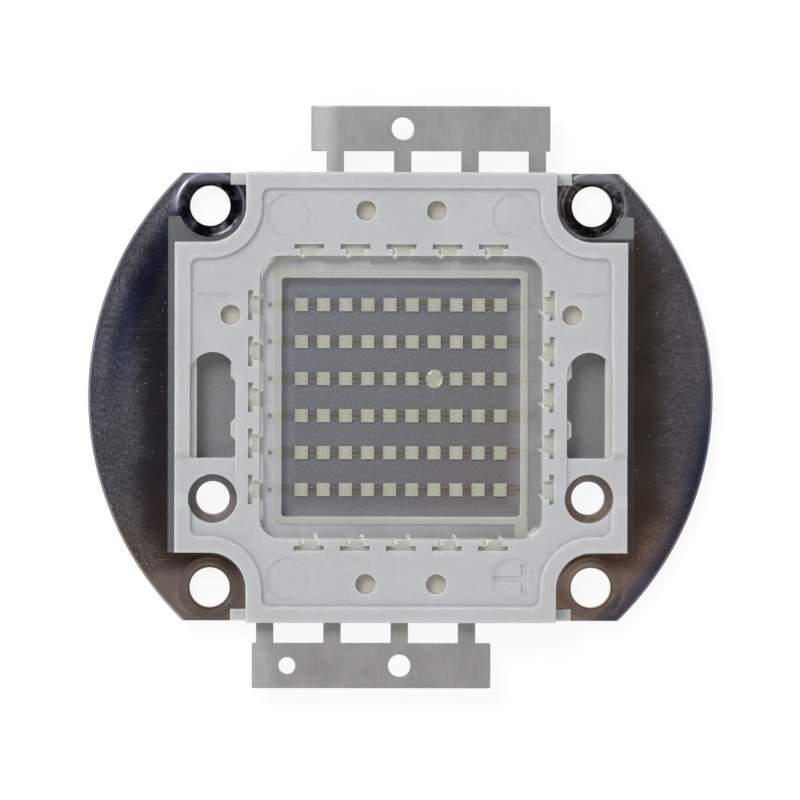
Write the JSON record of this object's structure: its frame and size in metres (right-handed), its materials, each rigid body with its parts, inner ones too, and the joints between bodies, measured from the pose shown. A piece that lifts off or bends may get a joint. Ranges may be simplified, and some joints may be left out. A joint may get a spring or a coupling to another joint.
{
  "type": "ultraviolet chip-on-board led emitter",
  "caption": "Flat-sided round plated copper plate with a white moulded frame, a field of UV dies under clear silicone, screw holes and stamped solder tabs.",
  "frame": {"origin": "middle of the underside of the base plate", "axes": "+Z out of the emitting face, +X along the longer side of the plate, +Y towards the tab that has a single hole"},
  "size_m": [0.056, 0.052, 0.0043],
  "materials": {
    "plated_copper": "polished nickel plating on copper, matte in the middle",
    "white_plastic": "moulded, matte",
    "tinned_sheet": "tinned stamped sheet, satin",
    "clear_silicone": "clear, glossy",
    "die": "fine grained",
    "die_attach": "silver filled paste",
    "gold_wire": "drawn gold"
  },
  "bodies": {
    "root": {"base_plate": "plated_copper", "housing_frame": "white_plastic", "lead_upper": "tinned_sheet", "lead_lower": "tinned_sheet", "silicone_fill": "clear_silicone", "silicone_bead": "clear_silicone", "ledge_wires_left": "gold_wire", "ledge_wires_right": "gold_wire", "led_dies_row_1": "die", "die_attach_row_1": "die_attach", "bond_wires_row_1": "gold_wire", "led_dies_row_2": "die", "die_attach_row_2": "die_attach", "bond_wires_row_2": "gold_wire", "led_dies_row_3": "die", "die_attach_row_3": "die_attach", "bond_wires_row_3": "gold_wire", "led_dies_row_4": "die", "die_attach_row_4": "die_attach", "bond_wires_row_4": "gold_wire", "led_dies_row_5": "die", "die_attach_row_5": "die_attach", "bond_wires_row_5": "gold_wire", "led_dies_row_6": "die", "die_attach_row_6": "die_attach", "bond_wires_row_6": "gold_wire"}
  },
  "joints": []
}
